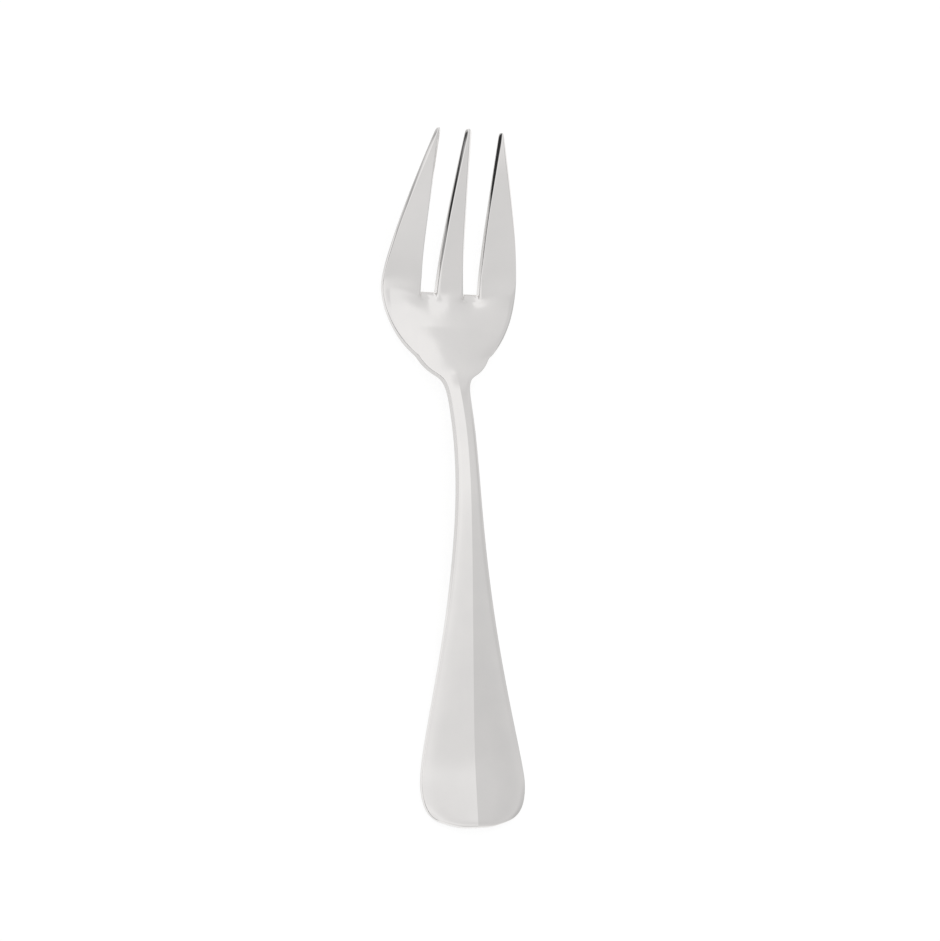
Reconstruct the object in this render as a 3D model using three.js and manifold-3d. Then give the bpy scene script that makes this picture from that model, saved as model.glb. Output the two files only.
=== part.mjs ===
// Fish fork: a three tined table fork struck from one flat blank of polished steel.
// Millimetres. X runs across the fork, Y from the handle end to the tine tips, Z up from the table.
import * as THREE from 'three';
import { mergeVertices } from 'three/addons/utils/BufferGeometryUtils.js';
import Module from 'manifold-3d';

// Lengths along the fork, one after the other from the handle end to the tips
const endRoundLength = 9.8;
const taperLength = 84.2;
const stemLength = 10;
const neckLength = 7.6;
const shoulderLength = 4.8;
const palmLength = 16.8;
const tineLength = 37.4;
const outerTipSetback = 0.6;

// Widths across the fork
const endFlatWidth = 5;
const handleWidth = 27.5;
const stemWidth = 5.4;
const neckWidth = 10.8;
const notchWidth = 19.1;
const headWidth = 36.3;
const tineGapOuterWidth = 15.8;
const middleTineWidth = 7.5;
const middleTipWidth = 1.6;
const outerTipWidth = 1.2;

// Heights of the underside above the table, and where its flat and high places lie
const handleRestEnd = 14;
const archHeight = 6.1;
const archBeforeStem = 8;
const heelStart = 4.6;
const heelLength = 7.5;
const tipHeight = 18.2;

// The outer tines stand above the middle one: at their tips, and by a slope up to their outer edges
// that is full a little way on from the slots
const outerTipLift = 1.1;
const outerSlope = 0.09;
const outerSlopeStart = 5;

// Thicknesses at the edges, and how far the middle ridge stands above them
const handleThickness = 1.5;
const stemThickness = 2.1;
const headThickness = 1.6;
const tipThickness = 1;
const handleRidge = 1;
const stemRidge = 0.6;

// Rounded edges, and the ramps that run down into the slots
const edgeRound = 0.6;
const rampLength = 2;
const rampLip = 0.4;

// Fineness of the curves
const curveSteps = 18;
const roundSteps = 3;

// A rounding takes at most this share of the width or thickness that it lies on
const roundLimit = 0.33;

// How each curve leaves its start and reaches its end: the share of its run and of its rise
// over which it keeps its first or last direction
const endRoundPull = { leave: [0, 0.66], arrive: [0.68, 0] };
const taperPull = { leave: [0.125, 0], arrive: [0.5, 0] };
const neckPull = { leave: [0.72, 0], arrive: [0.13, 0.67] };
const shoulderPull = { leave: [0.21, 0.43], arrive: [0.38, 0.16] };
const palmPull = { leave: [0.12, 0.31], arrive: [0.52, 0.1] };
const outerTinePull = { leave: [0.15, -0.06], arrive: [0.49, 0.68] };
const middleTinePull = { leave: [0.35, 0.28], arrive: [0.31, 0.38] };
const handleRisePull = { leave: [0.19, 0], arrive: [0.25, 0] };
const stemFallPull = { leave: [0.51, 0], arrive: [0.23, 0] };
const tineRisePull = { leave: [0.121, 0], arrive: [0.739, 0.915] };
const ridgePull = { leave: [0.5, 0], arrive: [0.5, 0] };

const polishedSteel = { color: 0xc8cbcf, roughness: 0.12, metalness: 1 };

// Stations along the fork, measured from the handle end
const taperStart = endRoundLength;
const stemStart = taperStart + taperLength;
const neckStart = stemStart + stemLength;
const shoulderStart = neckStart + neckLength;
const palmStart = shoulderStart + shoulderLength;
const tineStart = palmStart + palmLength;
const totalLength = tineStart + tineLength;
const outerTipStation = totalLength - outerTipSetback;
const archStation = stemStart - archBeforeStem;
const heelStation = palmStart + heelStart;
const heelEnd = heelStation + heelLength;

const at = (station, value) => new THREE.Vector2(station, value);

// Smooth curve between two points
function sweep(start, end, pull) {
  const step = end.clone().sub(start);
  const first = start.clone().add(at(...pull.leave).multiply(step));
  const last = end.clone().sub(at(...pull.arrive).multiply(step));
  return new THREE.CubicBezierCurve(start, first, last, end);
}

function trace(...curves) {
  return curves.flatMap((curve, place) => curve.getPoints(curveSteps).slice(place === 0 ? 0 : 1));
}

// Value of a traced curve at one station, held level past its ends
function valueAt(points, station) {
  const next = points.findIndex((point) => point.x >= station);
  if (next < 0) {
    return points[points.length - 1].y;
  }
  if (next === 0) {
    return points[0].y;
  }
  const share = (station - points[next - 1].x) / (points[next].x - points[next - 1].x);
  return THREE.MathUtils.lerp(points[next - 1].y, points[next].y, share);
}

// Half widths of the outline, seen from above
const handleOutline = trace(
  sweep(at(0, endFlatWidth / 2), at(taperStart, handleWidth / 2), endRoundPull),
  sweep(at(taperStart, handleWidth / 2), at(stemStart, stemWidth / 2), taperPull),
);
const shankOutline = trace(
  new THREE.LineCurve(at(stemStart, stemWidth / 2), at(neckStart, stemWidth / 2)),
  sweep(at(neckStart, stemWidth / 2), at(shoulderStart, neckWidth / 2), neckPull),
);
const palmOutline = trace(
  sweep(at(shoulderStart, neckWidth / 2), at(palmStart, notchWidth / 2), shoulderPull),
  sweep(at(palmStart, notchWidth / 2), at(tineStart, headWidth / 2), palmPull),
);
const outerTineOutline = trace(
  sweep(
    at(tineStart, headWidth / 2),
    at(outerTipStation, tineGapOuterWidth / 2 + outerTipWidth),
    outerTinePull,
  ),
);
const middleTineOutline = trace(
  sweep(at(tineStart, middleTineWidth / 2), at(totalLength, middleTipWidth / 2), middleTinePull),
);

// Side profile: the underside rests at the handle end and at the heel, arches between them and
// rises to the tips
const underside = trace(
  new THREE.LineCurve(at(0, 0), at(handleRestEnd, 0)),
  sweep(at(handleRestEnd, 0), at(archStation, archHeight), handleRisePull),
  sweep(at(archStation, archHeight), at(heelStation, 0), stemFallPull),
  new THREE.LineCurve(at(heelStation, 0), at(heelEnd, 0)),
  sweep(at(heelEnd, 0), at(totalLength, tipHeight), tineRisePull),
);
const edgeThickness = [
  at(0, handleThickness),
  at(taperStart, handleThickness),
  at(stemStart, stemThickness),
  at(neckStart, stemThickness),
  at(palmStart, stemThickness),
  at(tineStart, headThickness),
  at(totalLength, tipThickness),
];
const ridge = trace(
  new THREE.LineCurve(at(0, handleRidge), at(taperStart, handleRidge)),
  sweep(at(taperStart, handleRidge), at(stemStart, stemRidge), ridgePull),
  sweep(at(stemStart, stemRidge), at(heelStation, 0), ridgePull),
);

// How far the two faces draw together, at a distance from the end of the rounding there
function drawIn(toEnd, reach) {
  const inside = reach - Math.min(toEnd, reach);
  return reach - Math.sqrt(reach * reach - inside * inside);
}

function topAt(station) {
  return valueAt(underside, station) + valueAt(edgeThickness, station);
}

// One closed section across the fork: rounded edges, a flat underside and a crest in the middle.
// The edges stand up by lift where the outline cuts into the slope of the crest.
function section({ station, left, right, inset, lift = 0, crest = 0 }) {
  const low = valueAt(underside, station) + inset;
  const high = topAt(station) + lift - inset;
  const round = Math.min(edgeRound, (right - left) * roundLimit, (high - low) * roundLimit);
  const y = station - totalLength / 2;
  const corners = [
    { x: right - round, z: high - round, turn: Math.PI / 2 },
    { x: right - round, z: low + round, turn: 0 },
    { x: left + round, z: low + round, turn: -Math.PI / 2 },
    { x: left + round, z: high - round, turn: -Math.PI },
  ];
  const points = [new THREE.Vector3((left + right) / 2, y, high + crest)];
  for (const corner of corners) {
    for (let i = 0; i <= roundSteps; i++) {
      const angle = corner.turn - (i / roundSteps) * (Math.PI / 2);
      const x = corner.x + round * Math.cos(angle);
      const z = corner.z + round * Math.sin(angle);
      points.push(new THREE.Vector3(x, y, z));
    }
  }
  return points;
}

// Closed skin over a row of sections, with a fan of triangles over each end
function loft(sections) {
  const count = sections[0].length;
  const points = sections.flat();
  const index = [];
  for (let row = 0; row < sections.length - 1; row++) {
    for (let i = 0; i < count; i++) {
      const here = row * count + i;
      const beside = row * count + ((i + 1) % count);
      index.push(here, beside, here + count);
      index.push(beside, beside + count, here + count);
    }
  }
  for (const row of [0, sections.length - 1]) {
    const middle = points.length;
    const centre = new THREE.Vector3();
    sections[row].forEach((point) => centre.addScaledVector(point, 1 / count));
    points.push(centre);
    for (let i = 0; i < count; i++) {
      const here = row * count + i;
      const beside = row * count + ((i + 1) % count);
      index.push(...(row === 0 ? [middle, beside, here] : [middle, here, beside]));
    }
  }
  const geometry = new THREE.BufferGeometry().setFromPoints(points);
  geometry.setIndex(index);
  geometry.computeVertexNormals();
  return geometry;
}

const wasm = await Module();
wasm.setup();

function toSolid(geometry) {
  const bare = geometry.clone();
  bare.deleteAttribute('normal');
  bare.deleteAttribute('uv');
  const merged = mergeVertices(bare);
  const vertProperties = new Float32Array(merged.attributes.position.array);
  const triVerts = new Uint32Array(merged.index.array);
  return new wasm.Manifold(new wasm.Mesh({ numProp: 3, vertProperties, triVerts }));
}

function toGeometry(solid) {
  const mesh = solid.getMesh();
  const geometry = new THREE.BufferGeometry();
  geometry.setAttribute('position', new THREE.BufferAttribute(mesh.vertProperties, mesh.numProp));
  geometry.setIndex(new THREE.BufferAttribute(mesh.triVerts, 1));
  geometry.computeVertexNormals();
  return geometry;
}

// Wedge that is cut from the palm where a slot begins, from the top face down to a thin lip
function slotRamp(left, right) {
  const rampStart = tineStart - rampLength;
  const startHeight = topAt(rampStart);
  const lipHeight = valueAt(underside, tineStart) + rampLip;
  const past = tineStart + rampLength;
  const above = topAt(past) + headThickness;
  const profile = new THREE.Shape([
    at(rampStart, startHeight),
    at(past, 2 * lipHeight - startHeight),
    at(past, above),
    at(rampStart, above),
  ]);
  const wedge = new THREE.ExtrudeGeometry(profile, { depth: right - left, bevelEnabled: false });
  wedge.applyMatrix4(new THREE.Matrix4().makeBasis(
    new THREE.Vector3(0, 1, 0),
    new THREE.Vector3(0, 0, 1),
    new THREE.Vector3(1, 0, 0),
  ));
  wedge.translate(left, -totalLength / 2, 0);
  return wedge;
}

function piece(name, geometry) {
  const mesh = new THREE.Mesh(geometry, new THREE.MeshStandardMaterial(polishedSteel));
  mesh.name = name;
  return mesh;
}

// Length of the fork whose outline is the same on both sides. The two facets of the handle stay flat
// up to its round end, so the ridge keeps its height there.
function symmetricLoft(outline) {
  const sections = outline.map(({ x: station, y: half }) => {
    const facetHalf = station < taperStart ? handleWidth / 2 : half;
    const crest = valueAt(ridge, station) * (half / facetHalf);
    const lift = valueAt(ridge, station) - crest;
    const inset = drawIn(station, Math.min(edgeRound, handleThickness * roundLimit));
    return section({ station, left: -half, right: half, inset, lift, crest });
  });
  return loft(sections);
}

function palm() {
  let solid = toSolid(symmetricLoft(palmOutline));
  const inner = middleTineWidth / 2;
  const outer = tineGapOuterWidth / 2;
  for (const [left, right] of [[-outer, -inner], [inner, outer]]) {
    solid = solid.subtract(toSolid(slotRamp(left, right)));
  }
  return toGeometry(solid);
}

const gapEdge = tineGapOuterWidth / 2;

// How far a point of an outer tine stands above the same place on the middle tine
function outerRaise(point) {
  const along = point.y + totalLength / 2 - tineStart;
  const tipShare = along / (outerTipStation - tineStart);
  const slopeShare = Math.min(1, along / outerSlopeStart);
  return outerTipLift * tipShare + outerSlope * slopeShare * (Math.abs(point.x) - gapEdge);
}

// Tine between two edges, with added stations in the rounding at its tip
function tine(outline, leftEdge, rightEdge, raise = () => 0) {
  const stations = outline.map((point) => point.x);
  const tip = stations.pop();
  const reach = Math.min(edgeRound, tipThickness * roundLimit);
  for (let i = 0; i <= roundSteps; i++) {
    stations.push(tip - reach * (1 - Math.sin((i / roundSteps) * (Math.PI / 2))));
  }
  const sections = stations.map((station) => {
    const left = leftEdge(valueAt(outline, station));
    const right = rightEdge(valueAt(outline, station));
    return section({ station, left, right, inset: drawIn(tip - station, reach) });
  });
  for (const point of sections.flat()) {
    point.z += raise(point);
  }
  return loft(sections);
}

const same = (half) => half;
const opposite = (half) => -half;

const fork = new THREE.Group();
fork.add(piece('handle', symmetricLoft(handleOutline)));
fork.add(piece('shank', symmetricLoft(shankOutline)));
fork.add(piece('palm', palm()));
fork.add(piece('left_tine', tine(outerTineOutline, opposite, () => -gapEdge, outerRaise)));
fork.add(piece('middle_tine', tine(middleTineOutline, opposite, same)));
fork.add(piece('right_tine', tine(outerTineOutline, () => gapEdge, same, outerRaise)));

export default fork;
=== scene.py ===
import math

import bmesh
import bpy
from mathutils import Matrix, Vector


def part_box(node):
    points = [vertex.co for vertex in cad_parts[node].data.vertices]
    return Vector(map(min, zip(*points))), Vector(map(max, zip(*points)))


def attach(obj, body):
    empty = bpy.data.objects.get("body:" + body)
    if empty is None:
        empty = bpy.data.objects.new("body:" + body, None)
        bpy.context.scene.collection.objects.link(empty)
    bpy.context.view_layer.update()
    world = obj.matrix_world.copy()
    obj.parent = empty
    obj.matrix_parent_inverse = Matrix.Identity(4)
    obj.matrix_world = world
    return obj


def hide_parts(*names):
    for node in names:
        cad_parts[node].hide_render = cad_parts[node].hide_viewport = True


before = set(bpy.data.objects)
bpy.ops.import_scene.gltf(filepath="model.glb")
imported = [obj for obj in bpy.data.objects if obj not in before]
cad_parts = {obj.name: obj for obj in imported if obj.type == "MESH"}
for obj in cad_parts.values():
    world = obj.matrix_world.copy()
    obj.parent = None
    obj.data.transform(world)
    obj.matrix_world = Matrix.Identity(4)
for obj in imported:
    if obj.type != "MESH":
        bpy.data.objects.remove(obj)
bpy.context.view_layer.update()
mm = 0.001
print("frame loaded:", sorted(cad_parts))


# places and half widths that the solids give
handleLow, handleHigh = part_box("handle")
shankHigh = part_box("shank")[1]
palmLow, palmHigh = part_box("palm")
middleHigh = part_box("middle_tine")[1]
rightLow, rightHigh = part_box("right_tine")
endY, stemY = handleLow.y, handleHigh.y
shoulderY, slotY = palmLow.y, palmHigh.y
outerTipY, middleTipY = rightHigh.y, middleHigh.y


# fork skin: one seamless blank, drawn out row by row, thickened, then smoothed
forkSkin = {
    # blank: columns across it, rows of each stretch from the handle end to the tips
    "columns": (0.208, 0.326, 0.444, 0.722, 1.0),    # shares of the half width, middle to edge
    "edgeColumn": 0.86,                       # the last but one of them on the broad handle
    "edgeColumnEnds": (40 * mm, 75 * mm),     # where it moves over to that place
    "endRows": 3,
    "taperRows": 16,
    "neckRows": 6,
    "lobeRows": 5,
    "palmRows": 7,
    "tineRows": 11,

    # outline
    "endRound": 9.8 * mm,                     # handle end to its widest row
    "endCorner": (10.75 * mm, 2.4 * mm),      # half width and set-back of the end row's corner
    "endBow": 3.0,                            # how square the round end is
    "bowFollow": 0.36,                        # how far the next rows follow its bow
    "stemLength": 10 * mm,
    "stemHalf": 2.7 * mm,
    "notchReach": 4.8 * mm,                   # shoulder row to the notch
    "notchHalf": 9.55 * mm,
    "outerTip": 1.2 * mm,                     # tip widths
    "middleTip": 1.6 * mm,
    "pointHold": 1.4 * mm,                    # a row that keeps the edges straight near the points
    "endCurve": ((0.12, 0.42), (0.62, 0)),    # how each stretch leaves its start and nears its end
    "taperCurve": ((0.125, 0), (0.5, 0)),
    "neckCurve": ((0.72, 0), (0.13, 0.67)),
    "lobeCurve": ((0.21, 0.43), (0.38, 0.16)),
    "palmCurve": ((0.12, 0.31), (0.52, 0.1)),
    "outerCurve": ((0.15, -0.06), (0.49, 0.68)),
    "middleCurve": ((0.35, 0.28), (0.31, 0.38)),

    # side profile of the underside
    "handleRest": 14 * mm,                    # flat under the handle end
    "archBeforeStem": 8 * mm,
    "archHeight": 6.1 * mm,
    "heelFrom": 4.6 * mm,                     # notch to the flat under the heel
    "heelLength": 7.5 * mm,
    "tipHeight": 18.2 * mm,
    "archCurve": ((0.19, 0), (0.25, 0)),
    "bendCurve": ((0.51, 0), (0.23, 0)),
    "riseCurve": ((0.121, 0), (0.739, 0.915)),
    "underSteps": (40, 40, 60),

    # outer tines over the middle one
    "outerLift": 1.1 * mm,                    # at the tips
    "outerSlope": 0.09,                       # rise towards their outer edges
    "slopeFrom": 0.5 * mm,                    # where that begins, past the slots
    "slopeLength": 13 * mm,

    # thickness
    "thickness": 2.1 * mm,
    "endEdge": 1.5 * mm,                      # edge at the handle end
    "headEdge": 1.55 * mm,                    # and of the palm at the slots
    "headThinFrom": 1 * mm,                   # notch to where it begins to thin
    "headThinLength": 8 * mm,
    "edgeCurve": ((0.4, 0), (0.3, 0)),
    "edgeSteps": (20, 12),
    "tipThickness": 1.0 * mm,
    "tineThinning": 0.8,                      # how soon the tines grow thin
    "pointThickness": 0.85 * mm,              # at the very points, whose upper edge is set back
    "pointBack": 0.1 * mm,
    "rim": 0.5 * mm,                          # rounded band along every edge
    "footRim": 0.25 * mm,                     # lower on the underside

    # upper face of the handle and the stem
    "handleRidge": 1.35 * mm,                 # before the end is drawn thinner
    "stemRidge": 0.6 * mm,
    "evenCurve": ((0.5, 0), (0.5, 0)),
    "ridgeSteps": 20,
    "endSwell": 0.2 * mm,                     # how far it rises at the very end
    "endFall": 0.4 * mm,                      # how far the rim of the end is rounded off
    "pillow": 0.4 * mm,                       # how far the facets fall towards the edge
    "pillowEdge": 8,                          # how close to the edge they fall

    # upper face of the palm
    "crown": 0.5 * mm,                        # how far its middle stands over its edges
    "crownFade": 12 * mm,                     # slots to where the crown is full
    "crownFall": 2.2,                         # how soon it ends on the tines
    "crownCurve": ((0.3, 0), (0.5, 0)),
    "crownSteps": 12,
    "edgeFall": 0.3 * mm,                     # how far the edges are rounded off
    "edgeFallLength": 4 * mm,
    "edgeCrisp": 0.9,
    "ramp": 2.0 * mm,                         # slope at the closed end of each slot
    "rampFoot": 1.0 * mm,
    "cup": 0.4 * mm,                          # shallow hollow behind it
    "cupReach": 6.5 * mm,
    "cupHalf": 0.24,                          # its half width as a share of the palm's

    # sloped upper edges of the tines
    "bevel": 0.6 * mm,
    "tipBevel": 0.28 * mm,                    # by how much they are wider at the tips
    "bevelMost": 0.8,                         # and at most, as a share of the half width
    "bevelDepth": 0.6 * mm,
    "bevelCrisp": 0.4,
    "bevelFade": 8 * mm,                      # slot to where the slope is full
    "innerBevel": (0.5, 1.0),                 # shares of it on the outer tines, root and tip
    "innerBevelEnds": (0.55, 0.8),            # shares of the tine between which it grows
    "outerBevel": (0.6, 1.0),
    "outerBevelEnds": (0.3, 0.6),
    "wallLeast": 1.3,                         # lowest side wall, in foot rims

    "smooth": 2,
}

# how near to a place a point has to lie to be picked there
hair = 0.01 * mm
touch = 0.02 * mm
edgeTouch = 0.05 * mm
sideTouch = 0.06 * mm
levelTouch = 0.1 * mm
wallTouch = 0.15 * mm
rowReach = 0.3 * mm
columnReach = 0.6 * mm
gridTouch = 0.1 * mm
rimReach = {"slot": 1.2, "end": 1.3, "edge": 1.6, "top": 0.8}     # the same in rim widths


def sweep(start, end, curve, steps):          # points of a smooth curve between two points
    a, d = Vector(start), Vector(end)
    leave, arrive = curve
    run = d - a
    b = a + Vector((leave[0] * run.x, leave[1] * run.y))
    c = d - Vector((arrive[0] * run.x, arrive[1] * run.y))
    points = []
    for i in range(steps + 1):
        t = i / steps
        u = 1 - t
        points.append(a * u ** 3 + b * 3 * t * u * u + c * 3 * t * t * u + d * t ** 3)
    return points


def valueAt(points, place):                   # height of a drawn curve at one place
    for low, high in zip(points, points[1:]):
        if place <= high.x:
            share = max(0.0, (place - low.x) / (high.x - low.x))
            return low.y + (high.y - low.y) * share
    return points[-1].y


def clamp(share):
    return min(1.0, max(0.0, share))


def growAt(values, ends, share):              # from one value to another between two places
    return values[0] + (values[1] - values[0]) * clamp((share - ends[0]) / (ends[1] - ends[0]))


def heelStart(shape):
    return shoulderY + shape["notchReach"] + shape["heelFrom"]


def drawUnderside(shape):                     # side profile of the underside, end to tips
    rest = (endY + shape["handleRest"], 0)
    arch = (stemY - shape["archBeforeStem"], shape["archHeight"])
    heel = (heelStart(shape), 0)
    heelEnd = (heel[0] + shape["heelLength"], 0)
    archSteps, bendSteps, riseSteps = shape["underSteps"]
    profile = [Vector((endY, 0))]
    profile += sweep(rest, arch, shape["archCurve"], archSteps)
    profile += sweep(arch, heel, shape["bendCurve"], bendSteps)
    profile += sweep(heelEnd, (middleTipY, shape["tipHeight"]), shape["riseCurve"], riseSteps)
    return profile


def drawRidge(shape):                         # height of the middle ridge over the edges
    wide = (endY + shape["endRound"], shape["handleRidge"])
    stem = (stemY, shape["stemRidge"])
    ridge = [Vector((endY, shape["handleRidge"]))]
    ridge += sweep(wide, stem, shape["evenCurve"], shape["ridgeSteps"])
    ridge += sweep(stem, (heelStart(shape), 0), shape["evenCurve"], shape["ridgeSteps"])
    return ridge


def drawEdge(shape):                          # thickness at the edges, end to slots
    wide = (endY + shape["endRound"], shape["endEdge"])
    head = (shoulderY + shape["notchReach"] + shape["headThinFrom"], shape["thickness"])
    headEnd = (head[0] + shape["headThinLength"], shape["headEdge"])
    handleSteps, headSteps = shape["edgeSteps"]
    edge = sweep(wide, (stemY, shape["thickness"]), shape["edgeCurve"], handleSteps)
    edge += sweep(head, headEnd, shape["evenCurve"], headSteps)
    return edge


def drawRows(shape):                          # half width of every row from handle to slots
    cornerHalf, cornerBack = shape["endCorner"]
    stemHalf = shape["stemHalf"]
    corner = (endY + cornerBack, cornerHalf)
    wide = (endY + shape["endRound"], handleHigh.x)
    stemEnd = (stemY + shape["stemLength"], stemHalf)
    shoulder = (shoulderY, shankHigh.x)
    notch = (shoulderY + shape["notchReach"], shape["notchHalf"])
    rows = sweep(corner, wide, shape["endCurve"], shape["endRows"])
    rows += sweep(wide, (stemY, stemHalf), shape["taperCurve"], shape["taperRows"])[1:]
    rows += [Vector((stemY + shape["stemLength"] / 2, stemHalf))]
    rows += sweep(stemEnd, shoulder, shape["neckCurve"], shape["neckRows"])
    rows += sweep(shoulder, notch, shape["lobeCurve"], shape["lobeRows"])[1:]
    rows += sweep(notch, (slotY, palmHigh.x), shape["palmCurve"], shape["palmRows"])[1:]
    return rows


def drawTines(shape):                         # row edges of the outer and the middle tines
    outerTip = (outerTipY, rightLow.x + shape["outerTip"])
    middleTip = (middleTipY, shape["middleTip"] / 2)
    steps = shape["tineRows"]
    outer = sweep((slotY, palmHigh.x), outerTip, shape["outerCurve"], steps)
    middle = sweep((slotY, middleHigh.x), middleTip, shape["middleCurve"], steps)
    for edge in (outer, middle):
        back = shape["pointHold"] / (edge[-1].x - edge[-2].x)
        edge.insert(-1, edge[-1].lerp(edge[-2], back))
    return outer, middle


def pick(piece, wanted):                      # select the vertices that pass a test
    mesh = bmesh.from_edit_mesh(piece.data)
    mesh.select_mode = {"VERT"}
    for vert in mesh.verts:
        vert.select_set(not vert.hide and wanted(vert.co))
    mesh.select_flush_mode()
    bmesh.update_edit_mesh(piece.data)


def near(place, x, y, slack=touch):
    return abs(place.x - x) < slack and abs(place.y - y) < slack


def nearBoth(place, x, y, slack=touch):       # the same on the left and the right side
    return near(Vector((abs(place.x), place.y)), x, y, slack)


def move(x=0.0, y=0.0, z=0.0):
    bpy.ops.transform.translate(value=(x, y, z))


def widen(share, x=0.0):                      # scale the selection across, about one place
    bpy.ops.transform.resize(value=(share, 1, 1), center_override=(x, 0, 0))


def crease(crisp):
    bpy.ops.transform.edge_crease(value=crisp)


def pullRow(last, row, under):                # draw the selected row out into the next one
    rise = valueAt(under, row.x) - valueAt(under, last.x)
    bpy.ops.mesh.extrude_edges_move(
        TRANSFORM_OT_translate={"value": (0, row.x - last.x, rise)})


def shareAt(shape, share, y):                 # place of a column at one row
    if abs(share) != shape["columns"][-2]:
        return share
    start, end = shape["edgeColumnEnds"]
    back = clamp((end - (y - endY)) / (end - start))
    return math.copysign(abs(share) + (shape["edgeColumn"] - abs(share)) * back, share)


def layBlank(shape, shares, rows, under):     # flat blank that follows the underside
    columns = len(shares) - 1
    gridHalf = 0.5
    parked = 1.0                              # metres up, clear of the finished places
    bpy.ops.object.select_all(action="DESELECT")
    bpy.ops.mesh.primitive_grid_add(x_subdivisions=columns, y_subdivisions=1, size=2 * gridHalf)
    skin = bpy.context.object
    skin.name = "fork_skin"
    bpy.ops.object.mode_set(mode="EDIT")
    bpy.ops.mesh.select_mode(type="VERT")
    move(z=parked)
    for i, share in enumerate(shares):
        start = -gridHalf + i / columns
        pick(skin, lambda p: abs(p.x - start) < gridTouch and p.z > parked / 2)
        move(x=share - start, z=-parked)
    for side, row in zip((-gridHalf, gridHalf), rows):
        pick(skin, lambda p: abs(p.y - side) < gridTouch)
        move(y=row.x - side, z=valueAt(under, row.x))
        widen(row.y)
    for last, row in zip(rows[1:], rows[2:]):
        pullRow(last, row, under)
        widen(row.y / last.y)
    for row in rows:
        for share in (-shape["columns"][-2], shape["columns"][-2]):
            pick(skin, lambda p: near(p, share * row.y, row.x))
            move(x=(shareAt(shape, share, row.x) - share) * row.y)
    return skin


def pullTines(skin, shape, under):            # three strips drawn on from the palm's last row
    middleHalf, gapHalf, headHalf = middleHigh.x, rightLow.x, palmHigh.x
    widths = (middleHalf, (middleHalf + gapHalf) / 2, gapHalf, (gapHalf + headHalf) / 2)
    for share, place in zip(shape["columns"], widths):
        for side in (-1, 1):
            pick(skin, lambda p: near(p, side * share * headHalf, slotY))
            move(x=side * (place - share * headHalf))
    outer, middle = drawTines(shape)
    atSlots = lambda p: abs(p.y - slotY) < hair
    for side, edge, fixed in ((-1, outer, gapHalf), (0, middle, 0.0), (1, outer, gapHalf)):
        if side == 0:
            pick(skin, lambda p: atSlots(p) and abs(p.x) < middleHalf + hair)
        else:
            pick(skin, lambda p: atSlots(p) and p.x * side > gapHalf - hair)
        for last, row in zip(edge, edge[1:]):
            pullRow(last, row, under)
            widen((row.y - fixed) / (last.y - fixed), side * fixed)


def dishAt(shape, place):                     # rise of the outer tines over the middle one
    out = abs(place.x) - rightLow.x
    along = place.y - slotY
    if out < -hair or along < 0:
        return 0.0
    share = clamp((along - shape["slopeFrom"]) / shape["slopeLength"])
    slope = shape["outerSlope"] * share * share * (3 - 2 * share)
    return slope * out + shape["outerLift"] * along / (outerTipY - slotY)


def dishOuter(skin, shape):
    outer = drawTines(shape)[0]
    for row in outer[1:]:
        for x in (rightLow.x, (rightLow.x + row.y) / 2, row.y):
            pick(skin, lambda p: nearBoth(p, x, row.x))
            move(z=dishAt(shape, Vector((x, row.x, 0))))


def bowEnd(skin, shape, shares, rows):        # first rows bent to the round end of the handle
    places = {}
    count = shape["endRows"]
    for i, row in enumerate(rows[:count]):
        follow = shape["bowFollow"] * (count - i) / (count - 1)
        back = shape["endCorner"][1] if i == 0 else (row.x - endY) * follow
        for share in shares:
            across = shareAt(shape, share, row.x)
            bow = back * (1 - abs(across) ** shape["endBow"])
            pick(skin, lambda p: near(p, across * row.y, row.x))
            move(y=-bow)
            places[i, share] = row.x - bow
    return places


def thicken(shape):                           # rim band, then the thickness in three lifts
    rim, foot = shape["rim"], shape["footRim"]
    bpy.ops.mesh.select_all(action="SELECT")
    bpy.ops.mesh.inset(thickness=rim, use_boundary=True, use_even_offset=True)
    bpy.ops.mesh.select_all(action="SELECT")
    for lift in (foot, shape["thickness"] - foot - rim, rim):
        bpy.ops.mesh.extrude_region_move(TRANSFORM_OT_translate={"value": (0, 0, lift)})


def tineSpan(side, inner, edgeX):             # centre and half width of a tine at one row
    if side == 0:
        return 0.0, edgeX
    return side * (inner + edgeX) / 2, (edgeX - inner) / 2


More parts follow.
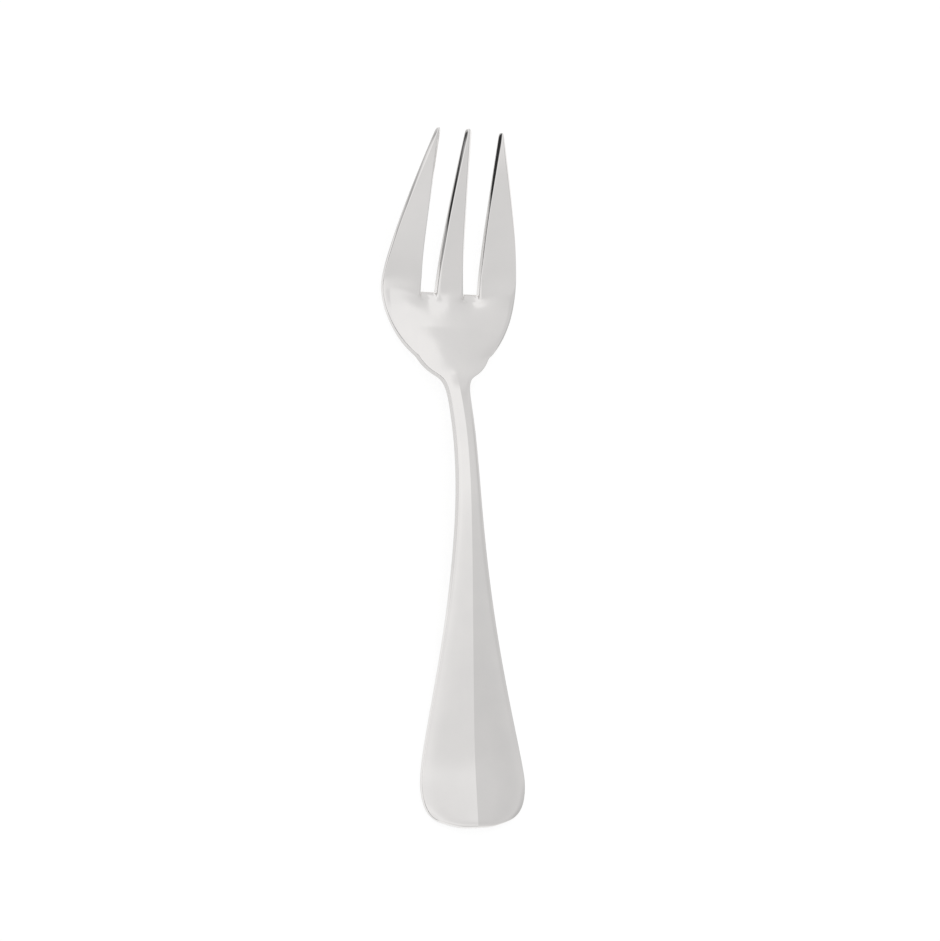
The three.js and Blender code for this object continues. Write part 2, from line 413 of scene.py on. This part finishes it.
def shapeTines(skin, shape, isOver):          # thinner towards the tips, with sloped upper edges
    outer, middle = drawTines(shape)
    full, rim, root = shape["thickness"], shape["rim"], shape["headEdge"]
    isTop = lambda p: isOver(p) > full - levelTouch
    isWall = lambda p: abs(isOver(p) - full + rim) < wallTouch

    def atSides(p, span, slack):
        return abs(abs(p.x - span[0]) - span[1]) < slack

    for side, edge, inner in ((-1, outer, rightLow.x), (0, middle, 0.0), (1, outer, rightLow.x)):
        spanAt = lambda p: tineSpan(side, inner, valueAt(edge, p.y))
        atEdge = lambda p: p.y > edge[1].x - hair and atSides(p, spanAt(p), sideTouch)
        for level in (full - rim, full):
            pick(skin, lambda p: atEdge(p) and abs(isOver(p) - level) < levelTouch)
            crease(shape["bevelCrisp"])
        beyond = edge[-1] + Vector((1 * mm, 0))
        for last, row, after in zip(edge, edge[1:], edge[2:] + [beyond]):
            low, high = (last.x + row.x) / 2, (row.x + after.x) / 2
            centre, half = tineSpan(side, inner, row.y)
            share = (row.x - slotY) / (edge[-1].x - slotY)
            thin = root + (shape["tipThickness"] - root) * share ** shape["tineThinning"]
            back = 0.0
            if row is edge[-1]:
                thin, back = shape["pointThickness"], shape["pointBack"]
            fade = min(1.0, (row.x - slotY) / shape["bevelFade"])
            bevel = shape["bevel"] + shape["tipBevel"] * share ** 2
            inside = outside = min(bevel, shape["bevelMost"] * half) * fade
            deep = max(rim, shape["bevelDepth"] * fade)
            wall = max(thin - deep, shape["wallLeast"] * shape["footRim"])
            if side:
                inside *= growAt(shape["innerBevel"], shape["innerBevelEnds"], share)
                outside *= growAt(shape["outerBevel"], shape["outerBevelEnds"], share)
            shift = side * (inside - outside) / 2
            inRow = lambda p: low < p.y <= high and abs(p.x - centre) < half + rowReach
            crown = shape["crown"] * max(0.0, 1 - share * shape["crownFall"]) * root / full
            for place in (inner, abs(centre), row.y) if side and crown > 0 else ():
                inColumn = lambda p: abs(abs(p.x) - place) < columnReach
                pick(skin, lambda p: inRow(p) and isTop(p) and inColumn(p))
                move(z=crown * (1 - (place / palmHigh.x) ** 2))
            pick(skin, lambda p: inRow(p) and isTop(p))
            move(shift, -back, thin - full + (0.0 if side else crown))
            widen(1 - (inside + outside) / 2 / half, centre + shift)
            atTip = lambda p: edge[-1].x - p.y < edgeTouch
            atWall = lambda p: isWall(p) and (atSides(p, (centre, half), edgeTouch) or atTip(p))
            pick(skin, lambda p: inRow(p) and atWall(p))
            move(y=-back / 2, z=wall - full + rim)


def shapeTop(skin, shape, shares, rows, places, isOver):      # ridge, crown and cups on top
    isTop = lambda p: isOver(p) > shape["thickness"] - levelTouch
    ridge = drawRidge(shape)
    crownEnd = (slotY - shape["crownFade"], shape["crown"])
    crown = sweep((shoulderY, 0), crownEnd, shape["crownCurve"], shape["crownSteps"])
    for i, row in enumerate(rows):
        rise = valueAt(ridge, row.x)
        pillow = shape["pillow"] * rise / shape["handleRidge"] * row.y / handleHigh.x
        hollow = max(0.0, 1 - (slotY - row.x) / shape["cupReach"]) * shape["cup"]
        swell = shape["endSwell"] * max(0.0, 1 - i / shape["endRows"]) ** 2
        slack = rimReach["end"] * shape["rim"] if row.x == slotY or i == 0 else touch
        for column in shares[1:-1]:
            share = shareAt(shape, column, row.x)
            y = places.get((i, column), row.x)
            fromCup = abs(abs(share) - shape["columns"][1]) / shape["cupHalf"]
            level = rise * (1 - abs(share)) + pillow * (1 - share ** shape["pillowEdge"])
            level += valueAt(crown, row.x) * (1 - share ** 2)
            level += swell - hollow * max(0.0, 1 - fromCup)
            pick(skin, lambda p: isTop(p) and near(p, share * row.y, y, slack))
            move(z=level)
        past = (row.x - shoulderY - shape["notchReach"]) / shape["edgeFallLength"]
        if past > 0:
            pick(skin, lambda p: isTop(p) and nearBoth(p, row.y, row.x, edgeTouch))
            move(z=-shape["edgeFall"] * min(1.0, past))


def creaseTop(skin, shape, rows, isOver):     # crisp edge of the palm
    full, rim = shape["thickness"], shape["rim"]
    palmRows = [row for row in rows if row.x > shoulderY + shape["notchReach"] - hair]
    atRim = lambda p, slack: any(nearBoth(p, row.y, row.x, slack) for row in palmRows)
    pick(skin, lambda p: isOver(p) > full - levelTouch and atRim(p, rimReach["edge"] * rim))
    crease(shape["edgeCrisp"])
    pick(skin, lambda p: isOver(p) > full - rimReach["top"] * rim and atRim(p, edgeTouch))
    crease(1)


def finishEnd(skin, shape, shares, rows, places, isOver):     # round end rim, sharp ridge
    isTop = lambda p: isOver(p) > shape["thickness"] - levelTouch
    count = shape["endRows"] + 1
    for i, row in enumerate(rows[:count]):
        if i == 0:
            ends = [(share * row.y, places[i, share]) for share in shares]
        else:
            ends = [(-row.y, row.x), (row.y, row.x)]
        pick(skin, lambda p: isTop(p) and any(near(p, x, y, edgeTouch) for x, y in ends))
        move(z=-shape["endFall"] * (1 - i / count))
    pick(skin, lambda p: abs(p.x) < touch and p.y < shoulderY and isTop(p))
    crease(1)
    bpy.ops.mesh.mark_sharp()


def cutRamps(skin, shape, under):             # sloped closed ends of the slots
    low, high = middleHigh.x, rightLow.x
    thick, slack = shape["thickness"], rimReach["slot"] * shape["rim"]
    base = valueAt(under, slotY)
    drop = valueAt(under, slotY - shape["ramp"]) - base
    topFrom, wallFrom = 0.93 * thick, 0.5 * thick             # heights that part top and wall
    for side in (-1, 1):
        for edge in (low, high):
            pick(skin, lambda p: near(p, side * edge, slotY, slack))
            crease(1)
        inSlot = lambda p: low - slack < p.x * side < high + slack and abs(p.y - slotY) < slack
        pick(skin, lambda p: inSlot(p) and p.z - base > topFrom)
        move(y=-shape["ramp"], z=drop)
        pick(skin, lambda p: inSlot(p) and wallFrom < p.z - base < topFrom)
        move(z=shape["rampFoot"] - thick + shape["rim"])


def thinEdges(skin, shape, rows, under):      # blank drawn thinner at the end and the palm
    edge = drawEdge(shape)
    bands = rows[shape["endRows"]:] + [Vector((slotY + 2 * mm, 0))]
    low = -math.inf
    for row, after in zip(bands, bands[1:]):
        high = (row.x + after.x) / 2
        pick(skin, lambda p: low < p.y <= high)
        thin = valueAt(edge, row.x) / shape["thickness"]
        foot = (0, row.x, valueAt(under, row.x))
        bpy.ops.transform.resize(value=(1, 1, thin), center_override=foot)
        low = high


def makeSkin(shape):
    under = drawUnderside(shape)
    rows = drawRows(shape)
    shares = [-c for c in reversed(shape["columns"])] + [0.0] + list(shape["columns"])
    isOver = lambda p: p.z - valueAt(under, p.y) - dishAt(shape, p)      # height over the underside
    skin = layBlank(shape, shares, rows, under)
    pullTines(skin, shape, under)
    dishOuter(skin, shape)
    places = bowEnd(skin, shape, shares, rows)
    thicken(shape)
    shapeTines(skin, shape, isOver)
    shapeTop(skin, shape, shares, rows, places, isOver)
    creaseTop(skin, shape, rows, isOver)
    finishEnd(skin, shape, shares, rows, places, isOver)
    cutRamps(skin, shape, under)
    thinEdges(skin, shape, rows, under)
    bpy.ops.mesh.select_all(action="SELECT")
    bpy.ops.mesh.normals_make_consistent(inside=False)
    bpy.ops.object.mode_set(mode="OBJECT")

    smooth = skin.modifiers.new("smooth", "SUBSURF")
    smooth.levels = shape["smooth"]
    smooth.render_levels = shape["smooth"]
    bpy.ops.object.modifier_apply(modifier="smooth")
    bpy.ops.object.shade_smooth()
    return skin


skin = makeSkin(forkSkin)
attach(skin, "root")
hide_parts("handle", "shank", "palm", "left_tine", "middle_tine", "right_tine")
print("fork skin:", len(skin.data.polygons), "faces")


# polished steel: bright faces with faint wiping marks, a rougher finish on the cut side walls, and
# painted shade there: a darker base colour that stands in for their darker reflections
steelLook = {
    "tone": (0.87, 0.852, 0.84, 1),
    "cloudTone": (0.85, 0.834, 0.824, 1),
    "cloudScale": 140.0,                      # soft patches, per metre
    "cloudDetail": 3.0,
    "cloudEnds": (0.35, 0.65),                # noise levels between which the tone changes
    # painted shade: darker base colours for the side walls, deepest near the stem and again on the
    # tines
    "paintedWallShade": (0.8, 0.786, 0.776, 1),
    "stemPaintedShade": (0.665, 0.652, 0.643, 1),
    "stemShadeMiddle": 4 * mm,
    "stemShadeEnds": (26 * mm, 38 * mm),       # how far from there the painted shade on the walls lightens
    "tinePaintedShade": (0.6, 0.588, 0.58, 1),
    "tineShadeEnds": (49 * mm, 55 * mm),       # where the painted shade on the walls deepens again
    "wallFrom": (0.6, 0.25),                  # steepness at which a face counts as side wall
    "wallRoughness": 0.2,
    "roughness": (0.05, 0.09),
    "wipeScale": (1500.0, 90.0, 1500.0),      # fine marks drawn out along the fork
    "wipeDetail": 4.0,
    "wipeEnds": (0.3, 0.7),
    "wipeDepth": 0.000002,
}


def addNode(tree, kind, **sockets):           # a node with some of its sockets set
    node = tree.nodes.new(kind)
    for name, value in sockets.items():
        node.inputs[name.replace("_", " ")].default_value = value
    return node


def feed(tree, socket, value):                # a plain value, or a link from another socket
    if isinstance(value, bpy.types.NodeSocket):
        tree.links.new(value, socket)
    else:
        socket.default_value = value


def calc(tree, kind, first, second=0.0):
    node = tree.nodes.new("ShaderNodeMath")
    node.operation = kind
    feed(tree, node.inputs[0], first)
    feed(tree, node.inputs[1], second)
    return node.outputs[0]


def spread(tree, value, fromEnds, toEnds=(0.0, 1.0), kind="LINEAR"):  # one range laid onto another
    node = addNode(tree, "ShaderNodeMapRange", From_Min=fromEnds[0], From_Max=fromEnds[1],
                   To_Min=toEnds[0], To_Max=toEnds[1])
    node.interpolation_type = kind
    tree.links.new(value, node.inputs["Value"])
    return node.outputs["Result"]


def mixNumbers(tree, share, low, high):
    node = tree.nodes.new("ShaderNodeMix")
    for name, value in (("Factor", share), ("A", low), ("B", high)):
        feed(tree, node.inputs[name], value)
    return node.outputs["Result"]


def mixColours(tree, share, low, high):
    node = tree.nodes.new("ShaderNodeMix")
    node.data_type = "RGBA"
    feed(tree, node.inputs["Factor"], share)
    for socket, value in zip(node.inputs[6:8], (low, high)):  # its two colour sockets
        feed(tree, socket, value)
    return node.outputs[2]


def makeSteel(look):
    steel = bpy.data.materials.new("polishedSteel")
    steel.use_nodes = True
    tree = steel.node_tree
    link = tree.links.new
    shader = tree.nodes["Principled BSDF"]
    shader.inputs["Metallic"].default_value = 1.0
    place = tree.nodes.new("ShaderNodeTexCoord")

    clouds = addNode(tree, "ShaderNodeTexNoise", Scale=look["cloudScale"],
                     Detail=look["cloudDetail"])
    link(place.outputs["Object"], clouds.inputs["Vector"])
    stretch = addNode(tree, "ShaderNodeMapping", Scale=look["wipeScale"])
    link(place.outputs["Object"], stretch.inputs["Vector"])
    wipes = addNode(tree, "ShaderNodeTexNoise", Scale=1.0, Detail=look["wipeDetail"])
    link(stretch.outputs["Vector"], wipes.inputs["Vector"])

    facing = tree.nodes.new("ShaderNodeSeparateXYZ")
    link(place.outputs["Normal"], facing.inputs[0])
    # steep faces count as side walls: a rougher finish, and painted shade in their base colour
    wall = spread(tree, calc(tree, "ABSOLUTE", facing.outputs["Z"]), look["wallFrom"])
    where = tree.nodes.new("ShaderNodeSeparateXYZ")
    link(place.outputs["Object"], where.inputs[0])
    # painted shade on the walls: darkest round the stem, lighter further off, darker again on the
    # tines
    fromStem = calc(tree, "SUBTRACT", where.outputs["Y"], look["stemShadeMiddle"])
    away = spread(tree, calc(tree, "ABSOLUTE", fromStem), look["stemShadeEnds"])
    paintedWallShade = mixColours(tree, away, look["stemPaintedShade"], look["paintedWallShade"])
    onTines = spread(tree, where.outputs["Y"], look["tineShadeEnds"])
    paintedWallShade = mixColours(tree, onTines, paintedWallShade, look["tinePaintedShade"])

    cloudy = spread(tree, clouds.outputs["Fac"], look["cloudEnds"])
    faceTone = mixColours(tree, cloudy, look["tone"], look["cloudTone"])
    link(mixColours(tree, wall, faceTone, paintedWallShade), shader.inputs["Base Color"])
    sheen = spread(tree, wipes.outputs["Fac"], look["wipeEnds"], look["roughness"])
    dull = mixNumbers(tree, wall, sheen, look["wallRoughness"])
    link(dull, shader.inputs["Roughness"])
    marks = addNode(tree, "ShaderNodeBump", Strength=1.0, Distance=look["wipeDepth"])
    link(wipes.outputs["Fac"], marks.inputs["Height"])
    link(marks.outputs["Normal"], shader.inputs["Normal"])
    return steel


skin.data.materials.append(makeSteel(steelLook))
print("steel polished")


# white floor that keeps a soft shadow
floorLook = {
    "size": 8.0,
    "drop": 0.05 * mm,                        # just under the fork
    "tone": (0.3, 0.3, 0.3, 1),
    "lift": 0.79,                             # brings the open floor up to white
}


def seenRays(tree):                           # 1 for what the camera, a mirror or glass looks at
    path = tree.nodes.new("ShaderNodeLightPath").outputs
    total = calc(tree, "MAXIMUM", path["Is Camera Ray"], path["Is Glossy Ray"])
    return calc(tree, "MAXIMUM", total, path["Is Transmission Ray"])


def makeFloor(look):
    bpy.ops.object.select_all(action="DESELECT")
    bpy.ops.mesh.primitive_plane_add(size=look["size"], location=(0, 0, -look["drop"]))
    floor = bpy.context.object
    floor.name = "floor"
    paint = bpy.data.materials.new("whiteFloor")
    paint.use_nodes = True
    tree = paint.node_tree
    link = tree.links.new
    tree.nodes.clear()
    matte = addNode(tree, "ShaderNodeBsdfDiffuse", Color=look["tone"])
    glow = tree.nodes.new("ShaderNodeEmission")
    both = tree.nodes.new("ShaderNodeAddShader")
    end = tree.nodes.new("ShaderNodeOutputMaterial")
    link(calc(tree, "MULTIPLY", seenRays(tree), look["lift"]), glow.inputs["Strength"])
    link(matte.outputs[0], both.inputs[0])
    link(glow.outputs[0], both.inputs[1])
    link(both.outputs[0], end.inputs["Surface"])
    floor.data.materials.append(paint)


makeFloor(floorLook)


# light tent: pale walls that darken to the right, with a dark card at the left
# each wall lists how far to the right and how bright, and each From where along the fork it begins
softLeft = ((-0.97, 0.6), (-0.8, 0.8), (-0.6, 0.95))
brightLeft = ((-0.97, 0.5), (-0.8, 0.8), (-0.6, 1.0), (-0.15, 0.955))
tentLook = {
    "lowWalls": softLeft + (
        (-0.1, 0.9), (0.07, 0.865), (0.16, 0.83), (0.2, 0.8), (0.27, 0.79), (0.295, 0.92),
        (0.34, 0.905), (0.4, 0.8), (0.45, 0.765), (0.5, 0.72), (0.54, 0.69), (0.58, 0.665),
        (0.62, 0.685), (0.66, 0.7), (0.72, 0.695), (0.78, 0.65), (0.85, 0.62), (0.93, 0.55)),
    "midWalls": brightLeft + (
        (0.36, 0.95), (0.395, 0.8), (0.45, 0.77), (0.52, 0.755), (0.58, 0.7), (0.65, 0.7),
        (0.72, 0.745), (0.85, 0.69), (0.93, 0.6)),
    "midFrom": (-0.02, 0.18),
    "highWalls": brightLeft + (
        (0.343, 0.955), (0.37, 0.8), (0.45, 0.765), (0.5, 0.75), (0.56, 0.69), (0.62, 0.72),
        (0.74, 0.74), (0.85, 0.69), (0.93, 0.6)),
    "highFrom": (0.31, 0.37),
    "highLean": (0.52, 0.18),                 # these lean to the right, further up from that place
    "highLeast": -0.012,
    "neckWalls": brightLeft + (
        (0.24, 0.955), (0.3, 0.8), (0.45, 0.765), (0.56, 0.69), (0.74, 0.74), (0.93, 0.6)),
    "neckFrom": (0.66, 0.71),
    "rootWalls": softLeft + (
        (-0.1, 0.92), (0.2, 0.88), (0.28, 0.85), (0.31, 0.825), (0.33, 0.79), (0.345, 0.75),
        (0.38, 0.73), (0.42, 0.735), (0.46, 0.76), (0.5, 0.755), (0.55, 0.72), (0.6, 0.68),
        (0.8, 0.65), (0.93, 0.55)),
    "rootFrom": (-0.07, -0.2),
    "endWalls": (
        (-0.2, 0.9), (0.1, 0.8), (0.2, 0.735), (0.3, 0.74), (0.4, 0.73), (0.47, 0.76),
        (0.55, 0.785), (0.8, 0.7)),
    "endFrom": (-0.38, -0.5),
    "card": 0.03,
    "cardSlant": (0.85, 0.5),                 # shares of the way across and along that place it
    "cardSide": (-0.7, -0.82),
    "cardEnd": (-0.12, -0.26),
    "sideCard": 0.45,                         # how much of it is left further up the left side
    "sideCardSide": (-0.76, -0.86),
    "sideCardEnd": (0.1, 0.0),
}


def makeTent(look):
    world = bpy.data.worlds.new("tent")
    world.use_nodes = True
    tree = world.node_tree
    tree.nodes.clear()
    link = tree.links.new
    place = tree.nodes.new("ShaderNodeTexCoord")
    split = tree.nodes.new("ShaderNodeSeparateXYZ")
    link(place.outputs["Generated"], split.inputs[0])
    across, along = split.outputs["X"], split.outputs["Y"]

    def ease(value, name):                    # 0 to 1 between two values of the look
        return spread(tree, value, look[name], kind="SMOOTHSTEP")

    def wall(name, shift=0.0):                # levels from left to right
        node = tree.nodes.new("ShaderNodeValToRGB")
        stops = node.color_ramp.elements
        while len(stops) < len(look[name]):
            stops.new(0.5)
        for stop, (side, level) in zip(stops, look[name]):
            stop.position = (side + 1) / 2
            stop.color = (level, level, level, 1)
        link(spread(tree, calc(tree, "SUBTRACT", across, shift), (-1.0, 1.0)), node.inputs["Fac"])
        return node.outputs["Color"]

    leanFrom, leanBy = look["highLean"]
    lean = calc(tree, "MULTIPLY", calc(tree, "SUBTRACT", along, leanFrom), leanBy)
    lean = calc(tree, "MAXIMUM", lean, look["highLeast"])
    tent = wall("lowWalls")
    for part, shift in (("mid", 0.0), ("high", lean), ("neck", 0.0), ("root", 0.0), ("end", 0.0)):
        tent = mixNumbers(tree, ease(along, part + "From"), tent, wall(part + "Walls", shift))

    slantAcross = calc(tree, "MULTIPLY", across, look["cardSlant"][0])
    slantAlong = calc(tree, "MULTIPLY", along, look["cardSlant"][1])
    slant = calc(tree, "ADD", slantAcross, slantAlong)
    card = calc(tree, "MULTIPLY", ease(slant, "cardSide"), ease(along, "cardEnd"))
    sideCard = calc(tree, "MULTIPLY", ease(across, "sideCardSide"), ease(along, "sideCardEnd"))
    card = calc(tree, "MAXIMUM", card, calc(tree, "MULTIPLY", sideCard, look["sideCard"]))
    tent = mixNumbers(tree, card, tent, look["card"])

    path = tree.nodes.new("ShaderNodeLightPath")
    sky = tree.nodes.new("ShaderNodeBackground")
    end = tree.nodes.new("ShaderNodeOutputWorld")
    link(mixNumbers(tree, path.outputs["Is Camera Ray"], tent, 1.0), sky.inputs["Color"])
    link(sky.outputs[0], end.inputs["Surface"])
    bpy.context.scene.world = world


makeTent(tentLook)
print("floor and light tent set")


# camera where the photograph was taken from
cameraPlace = {
    "aim": (2.64 * mm, 2.31 * mm, 2.8 * mm),
    "leanSide": -24.0,                        # degrees from straight above, towards the left edge
    "leanEnd": -10.7,                         # and towards the handle end
    "roll": -2.98,
    "distance": 650 * mm,
    "focalPixels": 2630.7,
    "imageHeight": 941,
    "sensorWidth": 36,
}


def makeCamera(place):
    side = math.sin(math.radians(place["leanSide"]))
    end = math.sin(math.radians(place["leanEnd"]))
    back = Vector((side, end, math.sqrt(1 - side * side - end * end)))
    right = (-back).cross(Vector((0, 1, 0))).normalized()
    up = right.cross(-back)
    roll = math.radians(place["roll"])
    turnedRight = right * math.cos(roll) + up * math.sin(roll)
    turnedUp = up * math.cos(roll) - right * math.sin(roll)
    data = bpy.data.cameras.new("camera")
    data.sensor_width = place["sensorWidth"]
    data.lens = place["sensorWidth"] * place["focalPixels"] / place["imageHeight"]
    camera = bpy.data.objects.new("camera", data)
    bpy.context.scene.collection.objects.link(camera)
    turn = Matrix((turnedRight, turnedUp, back)).transposed().to_4x4()
    stand = Vector(place["aim"]) + back * place["distance"]
    camera.matrix_world = Matrix.Translation(stand) @ turn
    return camera


bpy.context.scene.camera = makeCamera(cameraPlace)
bpy.context.scene.view_settings.view_transform = "Standard"
print("camera set")
